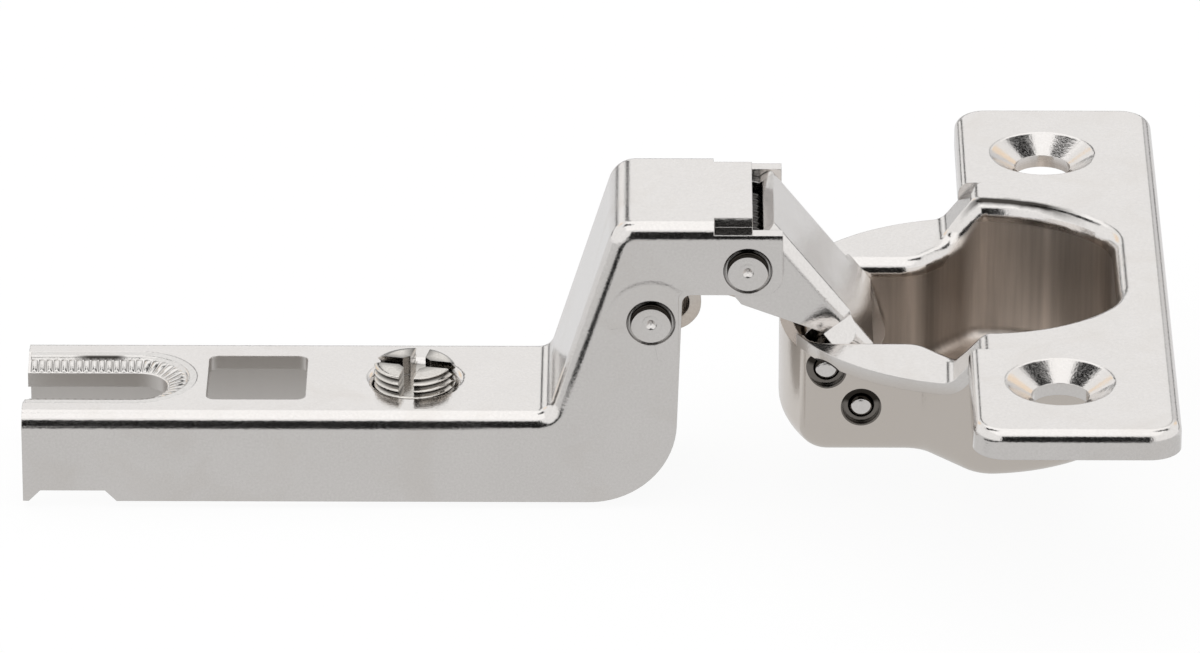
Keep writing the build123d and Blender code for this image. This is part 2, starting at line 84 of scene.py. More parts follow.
def pieceFrom(name, shells, joined=False, sharpAt=35, grooves=()):
    # each shell is a closed ring of points carried along a path, as a (rings, points, 3) array in
    # millimetres, and its two ends are closed by fans unless the path is joined to itself;
    # grooves hold, for each point of each shell, how much painted shade the finish gives it, mostly
    # from how far down a groove it lies
    points = []
    faces = []
    start = 0
    for shell in shells:
        rows, columns = shell.shape[:2]
        points.append(shell.reshape(-1, 3))
        faces += gridQuads(rows, columns, joined, start).tolist()
        hub = start + rows * columns
        start = hub
        if not joined:
            points.append(np.stack([shell[0].mean(axis=0), shell[-1].mean(axis=0)]))
            faces += endFan(hub, hub - rows * columns, columns).tolist()
            faces += endFan(hub + 1, hub - columns, columns).tolist()
            start = hub + 2
    mesh = bpy.data.meshes.new(name)
    mesh.from_pydata((np.concatenate(points) * mm).tolist(), [], faces)
    shape = bmesh.new()
    shape.from_mesh(mesh)
    bmesh.ops.recalc_face_normals(shape, faces=shape.faces)
    shape.to_mesh(mesh)
    shape.free()
    mesh.shade_smooth()
    mesh.set_sharp_from_angle(angle=np.radians(sharpAt))
    if grooves:
        hubs = np.zeros(0 if joined else 2)
        depths = np.concatenate([part for depth in grooves for part in (depth.ravel(), hubs)])
        groove = mesh.attributes.new("groove", "FLOAT", "POINT")
        groove.data.foreach_set("value", depths.astype(np.float32))
    piece = bpy.data.objects.new(name, mesh)
    scene.collection.objects.link(piece)
    print("piece:", name, len(mesh.polygons), "faces")
    return piece


def smoothStep(low, high, value):
    share = np.clip((value - low) / (high - low), 0, 1)
    return share * share * (3 - 2 * share)


def turnedAboutY(radii, heights, centre, sides=96):
    # a profile of radius against height along Y, turned about the line through centre = (x, z)
    angle = np.linspace(0, 2 * np.pi, sides, endpoint=False)
    x = centre[0] + radii[:, None] * np.cos(angle)
    z = centre[1] + radii[:, None] * np.sin(angle)
    return np.stack([x, np.broadcast_to(heights[:, None], x.shape), z], axis=-1)


def endFace(outerR, look, samples=60, innermost=0.01):
    # radius and drop of a turned end: a slight crown, a rounded rim, a shallow ring and a dimple in
    # the middle; the innermost ring is just off the centre, and the closing fan covers the rest
    radius = outerR * np.linspace(innermost, 1, samples)
    inRim = np.clip((radius - outerR + look["rim"]) / look["rim"], 0, 1)
    drop = look["rim"] * (1 - np.sqrt(1 - inRim**2))
    drop += look["crown"] * (radius / outerR) ** 2
    drop += look["ringDepth"] * np.exp(-(((radius - look["ringR"]) / look["ringWidth"]) ** 2))
    drop += look["dimpleDepth"] * (1 - smoothStep(0, look["dimpleR"], radius))
    return radius, drop


# ---- rivets ----
rivetLook = {
    "rim": 0.14,
    "crown": 0.05,
    "ringR": 0.85,
    "ringWidth": 0.12,
    "ringDepth": 0.012,
    "dimpleR": 0.55,
    "dimpleDepth": 0.32,
    "recess": 0.3,  # how deep its head sits in the arm's side
}


def makeRivet(node):
    # two flat heads on a shank, turned about the pivot's line
    low, high = boxOf(node)
    headR = (high[0] - low[0]) / 2
    radius, drop = endFace(headR, rivetLook)
    under = armHigh[1] - rivetLook["recess"]
    halfR = np.concatenate([radius, [headR, pivotR]])
    halfY = np.concatenate([high[1] - drop, [under, under]])
    radii = np.concatenate([halfR, halfR[::-1]])
    heights = np.concatenate([halfY, -halfY[::-1]])
    centre = ((low[0] + high[0]) / 2, (low[2] + high[2]) / 2)
    return pieceFrom(node + "_turned", [turnedAboutY(radii, heights, centre)])


# ---- cup pins ----
pinLook = {
    "rim": 0.45,
    "crown": 0.18,
    "ringR": 0.6,
    "ringWidth": 0.2,
    "ringDepth": 0.01,
    "dimpleR": 0.4,
    "dimpleDepth": 0.02,
}


def makePin(node):
    # a plain rod with domed ends, turned about its own line
    low, high = boxOf(node)
    radius, drop = endFace(pivotR, pinLook)
    radii = np.concatenate([radius, radius[::-1]])
    heights = np.concatenate([high[1] - drop, (drop - high[1])[::-1]])
    centre = ((low[0] + high[0]) / 2, (low[2] + high[2]) / 2)
    return pieceFrom(node + "_turned", [turnedAboutY(radii, heights, centre)])


# ---- adjusting screw ----
screwLook = {
    "pitch": 0.62,
    "threadDepth": 0.3,
    "threadPower": 0.8,  # below 1 the gaps are broader than the ridges
    "threadLength": 5.6,
    "slotWidth": 1.35,
    "slotDepth": 1.75,
    "slotTurn": -12,  # degrees, seen from above
    "driveCut": 0.55,  # taken off each quarter's inner corner
    "slotShade": 0.75,  # how dark the painted shade on the slots' walls is, as if in a groove
    "overlap": 0.05,  # how far the quarters reach down into the core
    "topEdge": 0.35,
    "neckR": 1.9,
    "neckLength": 1.3,
    "footR": 2.9,
    "footEdge": 0.2,
}


def threadR(angle, height, outerR, look):
    # a rounded helical ridge: the radius falls by the depth between one turn and the next
    phase = 2 * np.pi * height / look["pitch"] - angle
    return outerR - look["threadDepth"] * (0.5 - 0.5 * np.cos(phase)) ** look["threadPower"]


def makeScrew(look, sides=120, rowsPerTurn=12, edgeRows=6, arcPoints=40):
    low, high = boxOf("adjusting_screw")
    centre = (low + high) / 2
    outerR = (high[0] - low[0]) / 2
    top = high[2]
    slotFloor = top - look["slotDepth"]
    threadLow = top - look["threadLength"]
    footTop = threadLow - look["neckLength"]
    angle = np.linspace(0, 2 * np.pi, sides, endpoint=False)

    # the core: foot, neck and thread up to the slots' floor
    turns = (slotFloor - threadLow) / look["pitch"]
    threadZ = np.linspace(threadLow, slotFloor, int(turns * rowsPerTurn))
    lead = smoothStep(threadLow, threadLow + look["pitch"], threadZ)[:, None]
    threaded = threadR(angle, threadZ[:, None], outerR, look)
    threaded = lead * threaded + (1 - lead) * (outerR - look["threadDepth"])
    edge = look["footEdge"]
    plainZ = np.array([low[2], low[2] + edge, footTop - edge, footTop, footTop, threadLow])
    footR = look["footR"]
    neckR = look["neckR"]
    plainR = np.array([footR - edge, footR, footR, footR - edge, neckR, neckR])
    plainShape = (len(plainZ), sides)
    radii = np.concatenate([np.broadcast_to(plainR[:, None], plainShape), threaded])
    heights = np.broadcast_to(np.concatenate([plainZ, threadZ])[:, None], radii.shape)
    core = np.stack([radii * np.cos(angle), radii * np.sin(angle), heights], axis=-1)
    # painted shade down in the thread, deepest at the bottom of the groove
    grooves = [np.concatenate([np.zeros(plainShape), (outerR - threaded) / look["threadDepth"]])]

    # four quarters stand between the crossed slots, each one a closed outline carried upwards
    half = look["slotWidth"] / 2
    turns = look["slotDepth"] / look["pitch"]
    rows = int(turns * rowsPerTurn) + edgeRows
    z = np.linspace(slotFloor - look["overlap"], top, rows)[:, None]
    slotAngle = np.arcsin(half / outerR)
    arc = np.linspace(slotAngle, np.pi / 2 - slotAngle, arcPoints)
    inEdge = np.clip((z - top + look["topEdge"]) / look["topEdge"], 0, 1)
    edgeDrop = look["topEdge"] * (1 - np.sqrt(1 - inEdge**2))
    quarters = []
    for quarter in range(4):
        turn = np.radians(look["slotTurn"] + 90 * quarter)
        radius = threadR(arc + turn, z, outerR, look) - edgeDrop
        rimX = np.maximum(radius * np.cos(arc), half)
        rimY = np.maximum(radius * np.sin(arc), half)
        rim = np.stack([rimX, rimY], axis=-1)
        # painted shade down in the thread, and on the slots' walls
        depth = (outerR - edgeDrop - radius) / look["threadDepth"]
        grooves.append(np.concatenate([depth, np.full((rows, 2), look["slotShade"])], axis=1))
        cut = half + look["driveCut"]
        inner = np.broadcast_to(np.array([[half, cut], [cut, half]]), (rows, 2, 2))
        flat = np.concatenate([rim, inner], axis=1)
        x = flat[..., 0] * np.cos(turn) - flat[..., 1] * np.sin(turn)
        y = flat[..., 0] * np.sin(turn) + flat[..., 1] * np.cos(turn)
        quarters.append(np.stack([x, y, np.broadcast_to(z, x.shape)], axis=-1))
    axis = np.array([centre[0], centre[1], 0])
    shells = [core + axis] + [quarter + axis for quarter in quarters]
    return pieceFrom("adjusting_screw_threaded", shells, grooves=grooves)


# ---- teeth in the rear slot's dish ----
toothLook = {
    "pitch": 0.65,
    "height": 0.17,
    "ridgePower": 0.7,  # below 1 the ridges are broader than the gaps
    "endPower": 0.4,  # below 1 a ridge keeps its height nearly to its ends
    "slotHalf": 2.7,
    "baseHeight": 8.2,
    "slope": 0.9 / 2.6,  # how fast the dish rises away from the slot
    "startX": -82.7,
    "slashFrom": -80.5,  # a painted dark reflection lies along the far side's lip from here to the round end
    "slashFadeIn": 3,  # how long its start and its end are
    "slashFadeOut": 2,
    "gap": 0.1,  # from the slot's edge
    "width": 1.5,
    "lipRun": 0.3,  # the steep lip outside the teeth
    "rimWidth": 0.75,  # level with the arm's base, outside the lip
    "root": 0.25,  # how deep the strip is set into the dish
    "sink": 0.01,  # keeps the strip's face off the plate's
    "soften": 0.1,  # how far the lip's shade fades at its borders
}


def makeTeeth(look, rowsPerTooth=12, across=34):
    # a strip that follows the dish round the slot: a rounded ridge across it at every pitch, which is
    # a raised cosine along the strip and a sine across it, then a steep lip up to the base's level
    slotCentre = mountAt("plate_slot")
    straight = slotCentre[0] - look["startX"]
    middleR = look["slotHalf"] + look["gap"] + look["width"] / 2
    length = 2 * straight + np.pi * middleR
    count = int(round(length / look["pitch"]))
    along = np.linspace(0, length, count * rowsPerTooth)
    turn = np.clip((along - straight) / middleR, 0, np.pi)
    before = np.maximum(straight - along, 0)
    after = np.maximum(along - straight - np.pi * middleR, 0)
    x = slotCentre[0] - before - after
    ridge = (0.5 - 0.5 * np.cos(2 * np.pi * along * count / length)) ** look["ridgePower"]

    inner = look["slotHalf"] + look["gap"]
    lip = inner + look["width"]
    reach = np.linspace(inner, lip + look["lipRun"] + look["rimWidth"], across)
    share = np.clip((reach - inner) / look["width"], 0, 1)
    profile = np.maximum(np.sin(np.pi * share), 0) ** look["endPower"]
    rise = look["height"] * ridge[:, None] * profile
    ground = slotCentre[2] + look["slope"] * (reach - look["slotHalf"])
    level = mountAt("arm_seat")[2] + look["baseHeight"] - look["sink"]
    lipEnd = lip + look["lipRun"]
    onLip = smoothStep(lip, lipEnd, reach)
    ground = np.where(reach > lip, ground * (1 - onLip) + level * onLip, ground)
    crest = ground + rise - look["sink"]
    root = np.broadcast_to(np.minimum(ground, level) - look["root"], crest.shape)
    reach = np.concatenate([reach, reach[::-1]])
    heights = np.concatenate([crest, root[:, ::-1]], axis=1)
    gridX = x[:, None] + np.sin(turn)[:, None] * reach
    gridY = slotCentre[1] + np.cos(turn)[:, None] * reach

    # painted shade in the gaps between the teeth, and a painted dark reflection along the lip on the far
    # side
    soften = look["soften"]
    onTeeth = 1 - smoothStep(lip - soften, lip + soften, reach)
    onFarLip = (1 - onTeeth) * (1 - smoothStep(lipEnd - soften, lipEnd + soften, reach))
    farSide = smoothStep(look["slashFrom"], look["slashFrom"] + look["slashFadeIn"], x) * (turn == 0)
    farSide *= 1 - smoothStep(slotCentre[0] - look["slashFadeOut"], slotCentre[0], x)
    groove = (1 - ridge[:, None]) * onTeeth + farSide[:, None] * onFarLip
    strip = np.stack([gridX, gridY, heights], axis=-1)
    return pieceFrom("slot_teeth", [strip], sharpAt=60, grooves=[groove])


# ---- pressed pad round the rear rivet ----
padLook = {
    "outerR": 4.2,
    "holeR": 2.1,
    "height": 0.07,
    "strongestAt": 55,  # degrees up from the front; the pad fades out opposite
    "slope": 0.7,
    "root": 0.2,
    "frontReach": 2.35,  # from the rivet to the arm's front edge
    "throatAngle": 47,  # degrees, above which the sheet runs on to the head
    "facingFrom": 0.1,  # cosine of the angle from the front above which the front edge is met
    "sink": 0.01,  # where the pad has faded out, its face lies this far inside the sheet
}


def makePad(look, steps=180, across=24):
    # a low ring on each side of the arm, highest in one direction and fading as a raised cosine
    # towards the opposite one, and cut short where it meets the sheet's front edge
    low, high = boxOf("rear_rivet")
    centre = (low + high) / 2
    angle = np.linspace(-np.pi, np.pi, steps, endpoint=False)
    facesFront = (np.cos(angle) > look["facingFrom"]) & (angle < np.radians(look["throatAngle"]))
    edgeR = look["frontReach"] / np.maximum(np.cos(angle), look["facingFrom"])
    outerR = np.where(facesFront, np.minimum(look["outerR"], edgeR), look["outerR"])
    share = np.linspace(0, 1, across)
    radius = look["holeR"] + share * (outerR[:, None] - look["holeR"])
    fade = 0.5 + 0.5 * np.cos(angle - np.radians(look["strongestAt"]))
    edge = smoothStep(look["outerR"] - look["slope"], look["outerR"], radius)
    stand = look["height"] * fade[:, None] * (1 - edge) - look["sink"]
    ringR = np.concatenate([radius, radius[:, ::-1]], axis=1)
    ringY = np.concatenate([stand, np.full_like(stand, -look["root"])], axis=1)
    x = centre[0] + ringR * np.cos(angle)[:, None]
    z = centre[2] + ringR * np.sin(angle)[:, None]
    sides = [np.stack([x, side * (armHigh[1] + ringY), z], axis=-1) for side in (-1, 1)]
    return pieceFrom("rivet_pad", sides, joined=True)


pieces = {
    "front_rivet": makeRivet("front_rivet"),
    "rear_rivet": makeRivet("rear_rivet"),
    "upper_cup_pin": makePin("upper_cup_pin"),
    "lower_cup_pin": makePin("lower_cup_pin"),
    "adjusting_screw": makeScrew(screwLook),
}
bodies = frame["record"]["behaviour"]["bodies"]
bodyOf = {node: body for body, nodes in bodies.items() for node in nodes}
for node, piece in pieces.items():
    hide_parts(node)
    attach(piece, bodyOf[node])
details = {"teeth": makeTeeth(toothLook), "pad": makePad(padLook)}
for piece in details.values():
    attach(piece, "arm")


# ---- effects that several finishes share ----
def put(tree, kind, inputs):
    # a node, with each input either linked from a socket or set to a value
    node = tree.nodes.new(kind)
    for key, value in inputs.items():
        if isinstance(value, bpy.types.NodeSocket):
            tree.links.new(value, node.inputs[key])
        else:
            node.inputs[key].default_value = value
    return node


def maths(tree, operation, first, second=0.0):
    node = put(tree, "ShaderNodeMath", {0: first, 1: second})
    node.operation = operation
    return node.outputs[0]


def blendColours(tree, share, first, second):
    node = tree.nodes.new("ShaderNodeMix")
    node.data_type = "RGBA"
    for index, value in ((0, share), (6, first), (7, second)):
        if isinstance(value, bpy.types.NodeSocket):
            tree.links.new(value, node.inputs[index])
        else:
            node.inputs[index].default_value = value
    return node.outputs[2]


def remap(tree, value, fromLow, fromHigh, low, high):
    inputs = {"Value": value, "From Min": fromLow, "From Max": fromHigh, "To Min": low, "To Max": high}
    return put(tree, "ShaderNodeMapRange", inputs).outputs[0]


def newGroup(name, inputs, outputs):
    group = bpy.data.node_groups.new(name, "ShaderNodeTree")
    for label, value in inputs.items():
        socket = group.interface.new_socket(label, in_out="INPUT", socket_type="NodeSocketFloat")
        socket.default_value = value
    for label, kind in outputs.items():
        group.interface.new_socket(label, in_out="OUTPUT", socket_type=kind)
    return group, group.nodes.new("NodeGroupInput"), group.nodes.new("NodeGroupOutput")


grainLook = {
    "fineShare": 0.7,
    "fineDetail": 3.0,
    "cloudShare": 0.3,
    "cloudDetail": 4.0,
    "cloudScale": 0.035,  # of the fine grain's scale
    "spread": (0.38, 0.62),  # where the noise's values mostly lie
}


def makeGrain(look):
    # plated sheet: a fine grain over soft clouds, which vary tone, roughness and height
    inputs = {"Scale": 4000.0, "Smoothest": 0.15, "Roughest": 0.25}
    outputs = {"Tone": "NodeSocketFloat", "Roughness": "NodeSocketFloat", "Height": "NodeSocketFloat"}
    group, given, made = newGroup("platedGrain", inputs, outputs)
    own = group.nodes.new("ShaderNodeTexCoord").outputs["Object"]
    fineIn = {"Vector": own, "Scale": given.outputs["Scale"], "Detail": look["fineDetail"]}
    fine = put(group, "ShaderNodeTexNoise", fineIn)
    cloudScale = maths(group, "MULTIPLY", given.outputs["Scale"], look["cloudScale"])
    cloudIn = {"Vector": own, "Scale": cloudScale, "Detail": look["cloudDetail"]}
    cloud = put(group, "ShaderNodeTexNoise", cloudIn)
    finePart = maths(group, "MULTIPLY", fine.outputs[0], look["fineShare"])
    cloudPart = maths(group, "MULTIPLY", cloud.outputs[0], look["cloudShare"])
    both = maths(group, "ADD", finePart, cloudPart)
    low, high = look["spread"]
    rough = put(group, "ShaderNodeMapRange", {"Value": both, "From Min": low, "From Max": high})
    group.links.new(given.outputs["Smoothest"], rough.inputs["To Min"])
    group.links.new(given.outputs["Roughest"], rough.inputs["To Max"])
    group.links.new(remap(group, both, low, high, 0.0, 1.0), made.inputs["Tone"])
    group.links.new(rough.outputs[0], made.inputs["Roughness"])
    group.links.new(fine.outputs[0], made.inputs["Height"])
    return group


# an edge shows where the rounded normal turns away from the face's own: it fades in as their cosine
# falls from the first value of turn to the second
edgeLook = {"samples": 4, "turn": (0.99, 0.8)}


def makeEdges(look):
    # the normal rounded over at sharp edges, and a mask of those edges
    outputs = {"Mask": "NodeSocketFloat", "Normal": "NodeSocketVector"}
    group, given, made = newGroup("softEdges", {"Radius": 0.0001}, outputs)
    bevel = put(group, "ShaderNodeBevel", {"Radius": given.outputs["Radius"]})
    bevel.samples = look["samples"]
    plain = group.nodes.new("ShaderNodeNewGeometry").outputs["Normal"]
    agree = put(group, "ShaderNodeVectorMath", {0: bevel.outputs[0], 1: plain})
    agree.operation = "DOT_PRODUCT"
    edge = remap(group, agree.outputs["Value"], *look["turn"], 0.0, 1.0)
    group.links.new(edge, made.inputs["Mask"])
    group.links.new(bevel.outputs[0], made.inputs["Normal"])
    return group


handlingLook = {"scale": 160.0, "detail": 5.0, "distortion": 0.8, "spread": (0.5, 0.72)}


def makeHandling(look):
    # soft patches left by handling, where the plate is a little duller
    group, given, made = newGroup("handling", {"Scale": look["scale"]}, {"Mask": "NodeSocketFloat"})
    own = group.nodes.new("ShaderNodeTexCoord").outputs["Object"]
    inputs = {"Vector": own, "Scale": given.outputs["Scale"]}
    inputs |= {"Detail": look["detail"], "Distortion": look["distortion"]}
    patch = put(group, "ShaderNodeTexNoise", inputs)
    group.links.new(remap(group, patch.outputs[0], *look["spread"], 0.0, 1.0), made.inputs["Mask"])
    return group


# painted shade fades in as a spot's openness falls from the first value to the second
creviceLook = {"samples": 6, "openness": (0.72, 0.25)}


def makeCrevices(look):
    # painted shade where surfaces come close together, from an ambient occlusion node
    group, given, made = newGroup("creviceShading", {"Distance": 0.0006}, {"Mask": "NodeSocketFloat"})
    hidden = put(group, "ShaderNodeAmbientOcclusion", {"Distance": given.outputs["Distance"]})
    hidden.samples = look["samples"]
    paintedShade = remap(group, hidden.outputs["AO"], *look["openness"], 0.0, 1.0)
    group.links.new(paintedShade, made.inputs["Mask"])
    return group


# the shade grows as the sine of the direction from the pivot rises from the first value to the second
recessLook = {"rise": (-0.6, 0.4)}


def makeRecess(look):
    # shade in the ring round a pivot's end, deepest above it: 1 between two radii from the pivot's line
    asked = {"X": 0.0, "Z": 0.0, "Inner": 1.0, "Outer": 1.7, "Below": 0.3}
    group, given, made = newGroup("pivotRecess", asked, {"Mask": "NodeSocketFloat"})
    own = group.nodes.new("ShaderNodeTexCoord").outputs["Object"]
    at = put(group, "ShaderNodeSeparateXYZ", {0: own}).outputs
    across = maths(group, "SUBTRACT", maths(group, "MULTIPLY", at[0], 1 / mm), given.outputs["X"])
    above = maths(group, "SUBTRACT", maths(group, "MULTIPLY", at[2], 1 / mm), given.outputs["Z"])
    acrossSquared = maths(group, "MULTIPLY", across, across)
    aboveSquared = maths(group, "MULTIPLY", above, above)
    radius = maths(group, "SQRT", maths(group, "ADD", acrossSquared, aboveSquared))
    outside = maths(group, "GREATER_THAN", radius, given.outputs["Inner"])
    inside = maths(group, "LESS_THAN", radius, given.outputs["Outer"])
    height = remap(group, maths(group, "DIVIDE", above, radius), *look["rise"], 0.0, 1.0)
    deep = maths(group, "MAXIMUM", height, given.outputs["Below"])
    ring = maths(group, "MULTIPLY", outside, inside)
    group.links.new(maths(group, "MULTIPLY", ring, deep), made.inputs["Mask"])
    return group


recessGroup = makeRecess(recessLook)
grainGroup = makeGrain(grainLook)
edgeGroup = makeEdges(edgeLook)
handlingGroup = makeHandling(handlingLook)
creviceGroup = makeCrevices(creviceLook)


def useGroup(tree, group, inputs):
    # a group's node, with its inputs set to values
    node = tree.nodes.new("ShaderNodeGroup")
    node.node_tree = group
    for key, value in inputs.items():
        node.inputs[key].default_value = value
    return node


# ---- finishes ----
nickel = {
    "light": (0.790, 0.765, 0.745, 1),
    "shade": (0.745, 0.720, 0.700, 1),
    # edges a little lighter: partly wear, partly a painted highlight
    "edge": (0.82, 0.80, 0.78, 1),
    "dull": (0.70, 0.66, 0.62, 1),
    # painted shade: in crevices and grooves, round the pivots and along the cup's far lip
    "paintedShade": (0.03, 0.026, 0.022, 1),
    "creviceReach": 0.4,  # millimetres
    "creviceShade": 0.6,
    "grain": 5000.0,  # per metre
    "smoothest": 0.10,
    "roughest": 0.18,
    "bump": 0.16,
    "bumpDepth": 0.05,  # millimetres
    "edgeR": 0.10,  # millimetres
    "dullness": 0.35,
    "dullRoughness": 0.1,  # added where handling has dulled it most
    "grooveShade": 0.95,  # how dark the painted shade at the bottom of a groove is
}
rivetFinish = nickel | {"smoothest": 0.16, "roughest": 0.24, "edgeR": 0.05}
pinFinish = nickel | {"smoothest": 0.07, "roughest": 0.13, "bump": 0.2, "edgeR": 0.05}
# a recess shade is a ring of painted shade round a pivot: its two radii, how dark it is below, and
# how far its middle is lowered, in millimetres
finishes = {
    "arm": nickel
    | {
        # painted shade inside the arm's channel
        "inside": (0.58, 0.555, 0.53, 1),
        "insideRoughness": 0.32,
        "streaks": (0.995, 1.005),
        "recessShades": {"front_rivet": (1.9, 2.1, 0.0, 0.0), "rear_rivet": (1.9, 2.1, 0.0, 0.0)},
    },
    "cup": nickel
    | {
        "light": (0.785, 0.760, 0.740, 1),
        "shade": (0.740, 0.715, 0.695, 1),
        # painted shade inside the cup
        "inside": (0.67, 0.61, 0.56, 1),
        "insideRoughness": 0.36,
        "streaks": (0.93, 1.05),
        # painted shade on the drawn body under the door face
        "outside": (0.66, 0.61, 0.56, 1),
        "recessShades": {"upper_cup_pin": (1.0, 1.75, 0.75, 0.0), "lower_cup_pin": (1.0, 1.75, 0.75, 0.0)},
    },
    "outer_link": nickel | {"smoothest": 0.12, "roughest": 0.19},
    "inner_link": nickel
    | {
        "light": (0.70, 0.63, 0.56, 1),
        "shade": (0.62, 0.55, 0.49, 1),
        "dullness": 0.6,
    },
    "front_rivet": rivetFinish | {"recessShades": {"front_rivet": (1.72, 3.0, 0.0, 0.32)}},
    "rear_rivet": rivetFinish | {"recessShades": {"rear_rivet": (1.72, 3.0, 0.0, 0.32)}},
    "upper_cup_pin": pinFinish | {"recessShades": {"upper_cup_pin": (0.95, 3.0, 0.0, 0.3)}},
    "lower_cup_pin": pinFinish | {"recessShades": {"lower_cup_pin": (0.95, 3.0, 0.0, 0.3)}},
    "adjusting_screw": nickel
    | {
        "light": (0.74, 0.71, 0.67, 1),
        "shade": (0.62, 0.59, 0.55, 1),
        "edgeR": 0.06,
        "grooveFrom": 0.3,
    },
    "slot_teeth": nickel
    | {
        "light": (0.76, 0.74, 0.72, 1),
        "shade": (0.68, 0.66, 0.64, 1),
        "grooveFrom": 0.45,
    },
    "torsion_spring": nickel
    | {
        "light": (0.10, 0.095, 0.09, 1),
        "shade": (0.045, 0.042, 0.04, 1),
        "edge": (0.2, 0.19, 0.18, 1),
        "dull": (0.06, 0.045, 0.03, 1),
        "smoothest": 0.12,
        "roughest": 0.3,
    },
}


def whereIn(tree):
    # an object's own position in millimetres, and its own normal
    own = tree.nodes.new("ShaderNodeTexCoord")
    scaled = put(tree, "ShaderNodeVectorMath", {0: own.outputs["Object"], 1: (1 / mm, 1 / mm, 1 / mm)})
    scaled.operation = "MULTIPLY"
    at = put(tree, "ShaderNodeSeparateXYZ", {0: scaled.outputs[0]}).outputs
    normal = put(tree, "ShaderNodeSeparateXYZ", {0: own.outputs["Normal"]}).outputs
    return at, normal


# painted shade inside the arm's base, and on the cut edges of its holes: millimetres, and the normal's
# Z from which a face counts as facing up
channel = {"halfWidth": 6.6, "below": -8.55, "facesUp": 0.3}


def armInsideShade(tree):
    at, normal = whereIn(tree)
    near = maths(tree, "LESS_THAN", maths(tree, "ABSOLUTE", at[1]), channel["halfWidth"])
    low = maths(tree, "LESS_THAN", at[2], channel["below"])
    notUp = maths(tree, "LESS_THAN", normal[2], channel["facesUp"])
    return maths(tree, "MULTIPLY", near, maths(tree, "MULTIPLY", low, notUp))


# millimetres: the lip's height goes from neckTop at neckX to bodyTop at bodyX
cavity = {
    "neckX": -3.1,
    "bodyX": -0.2,
    "neckTop": -2.1,
    "bodyTop": 1.0,
    "lipFade": (-0.3, 0.5),
    "floorTop": -6.0,
}


def cupInsideShade(tree):
    # painted shade on the drawn walls, which face the cup's axis below the lip, and on the bottom
    at, normal = whereIn(tree)
    outwardX = maths(tree, "MULTIPLY", at[0], normal[0])
    outwardY = maths(tree, "MULTIPLY", at[1], normal[1])
    outward = maths(tree, "ADD", outwardX, outwardY)
    inward = remap(tree, outward, 0.0, -1.0, 0.0, 1.0)
    top = remap(tree, at[0], cavity["neckX"], cavity["bodyX"], cavity["neckTop"], cavity["bodyTop"])
    low = remap(tree, maths(tree, "SUBTRACT", top, at[2]), *cavity["lipFade"], 0.0, 1.0)
    floor = maths(tree, "MULTIPLY", maths(tree, "LESS_THAN", at[2], cavity["floorTop"]), normal[2])
    wall = maths(tree, "MULTIPLY", inward, low)
    return maths(tree, "MAXIMUM", wall, floor)


lipLook = {
    "fromY": 7.0,
    "toY": 15.0,
    "aboveZ": 0.2,
    "fadeIn": (-1.6, 0.2),  # along X
    "fadeOut": (6.0, 9.5),
    "turnFrom": (0.12, 0.3),  # how far the normal leans into the cup
    "turnTo": (0.55, 0.75),
    "unevenScale": 900.0,
    "unevenDetail": 4.0,
    "unevenSpread": (0.3, 0.7),
    "unevenness": 0.03,
    "strength": 0.97,
}


def cupLipReflection(tree):
    # a painted dark reflection on the far lip, where the bend has turned part of the way from the flange
    # down into the cavity
    at, normal = whereIn(tree)
    own = tree.nodes.new("ShaderNodeTexCoord").outputs["Object"]
    unevenIn = {"Vector": own, "Scale": lipLook["unevenScale"], "Detail": lipLook["unevenDetail"]}
    uneven = put(tree, "ShaderNodeTexNoise", unevenIn).outputs[0]
    most = lipLook["unevenness"]
    uneven = remap(tree, uneven, *lipLook["unevenSpread"], -most, most)
    lean = maths(tree, "ADD", maths(tree, "MULTIPLY", normal[1], -1.0), uneven)
    turnedIn = remap(tree, lean, *lipLook["turnFrom"], 0.0, 1.0)
    turned = maths(tree, "MULTIPLY", turnedIn, remap(tree, lean, *lipLook["turnTo"], 1.0, 0.0))
    near = maths(tree, "GREATER_THAN", at[1], lipLook["fromY"])
    far = maths(tree, "MULTIPLY", near, maths(tree, "LESS_THAN", at[1], lipLook["toY"]))
    started = remap(tree, at[0], *lipLook["fadeIn"], 0.0, 1.0)
    along = maths(tree, "MULTIPLY", started, remap(tree, at[0], *lipLook["fadeOut"], 1.0, 0.0))
    high = maths(tree, "GREATER_THAN", at[2], lipLook["aboveZ"])
    band = maths(tree, "MULTIPLY", turned, along)
    line = maths(tree, "MULTIPLY", band, maths(tree, "MULTIPLY", far, high))
    return maths(tree, "MULTIPLY", line, lipLook["strength"])


# millimetres along Z, and the normal's Z from which a face counts as facing up
drawnBody = {"fade": (-1.0, -2.2), "facesUp": 0.5}


def cupBodyShade(tree):
    # painted shade on the drawn body under the door face, darker and warmer
    at, normal = whereIn(tree)
    low = remap(tree, at[2], *drawnBody["fade"], 0.0, 1.0)
    return maths(tree, "MULTIPLY", low, maths(tree, "LESS_THAN", normal[2], drawnBody["facesUp"]))


streakLook = {"scale": 2200.0, "detail": 3.0, "squeeze": (1, 1, 0.06), "spread": (0.35, 0.65)}


def drawnStreaks(tree, low, high):
    # fine upright streaks that drawing leaves in a wall
    own = tree.nodes.new("ShaderNodeTexCoord").outputs["Object"]
    squeezed = put(tree, "ShaderNodeMapping", {"Vector": own, "Scale": streakLook["squeeze"]}).outputs[0]
    streakIn = {"Vector": squeezed, "Scale": streakLook["scale"], "Detail": streakLook["detail"]}
    streak = put(tree, "ShaderNodeTexNoise", streakIn).outputs[0]
    return remap(tree, streak, *streakLook["spread"], low, high)


# places along X in millimetres, and how dark the bands of painted shade and how light the band of
# painted highlight are beside the plain wall
wallLook = {
    "neckX": -4.2,
    "neckReach": (0.2, 1.3),
    "neckShade": 0.62,
    "rightFade": (6.4, 8.0),
    "rightShade": 0.74,
    "lineX": 6.0,
    "lineReach": (0.05, 0.5),
    "lineLight": 1.3,
}


